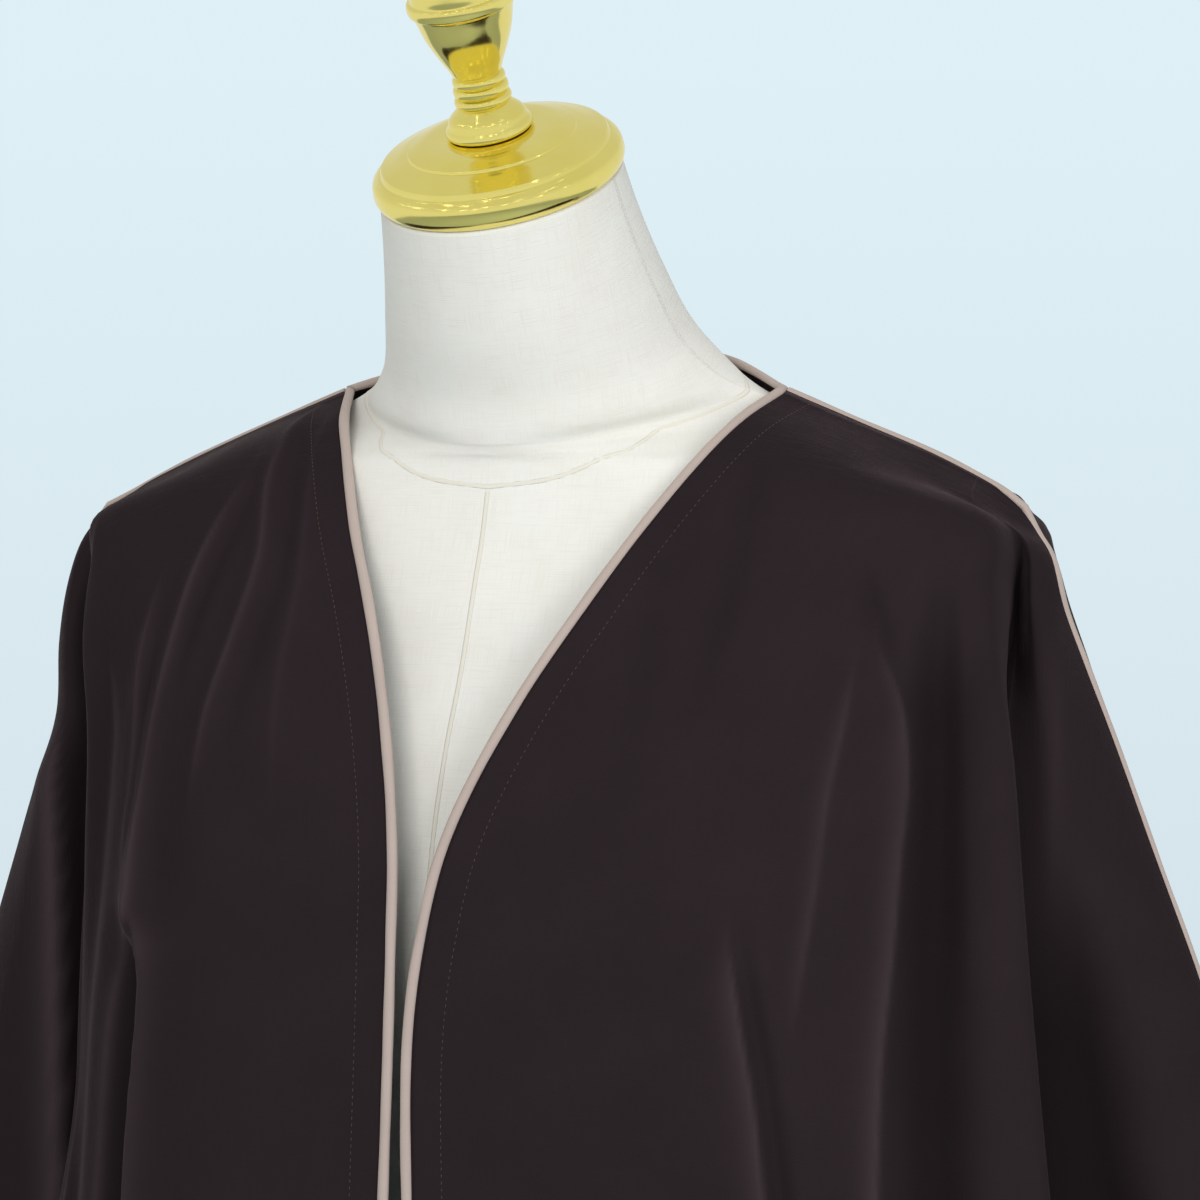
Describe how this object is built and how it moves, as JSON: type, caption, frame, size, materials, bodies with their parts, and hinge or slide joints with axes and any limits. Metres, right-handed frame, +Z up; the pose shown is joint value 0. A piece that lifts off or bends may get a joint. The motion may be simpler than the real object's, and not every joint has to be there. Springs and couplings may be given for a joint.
{
  "type": "abaya cloak on a dress form",
  "caption": "Open-front kimono-cut abaya cloak with piped edges, hanging in folds on a limbless linen dress form with a gold neck cap, finial, pole and round base.",
  "frame": {"origin": "centre of the round base's underside, on the floor", "axes": "+Z up the pole, -Y to the open front of the cloak, +X to the wearer's left"},
  "size_m": [0.9071, 0.5508, 1.64],
  "materials": {
    "abaya_crepe": "fine matt crepe with a slight satin sheen, dark aubergine brown",
    "piping_satin": "dusty beige-pink satin over a cord",
    "form_linen": "off-white slub linen, stretched smooth",
    "polished_gold": "bright polished gold plating"
  },
  "bodies": {
    "root": {"back": "abaya_crepe", "front_left": "abaya_crepe", "front_right": "abaya_crepe", "piping_neckline": "piping_satin", "piping_sleeve_left": "piping_satin", "piping_sleeve_right": "piping_satin", "form": "form_linen", "neck_cap": "polished_gold", "finial": "polished_gold", "pole": "polished_gold", "base": "polished_gold"}
  },
  "joints": []
}
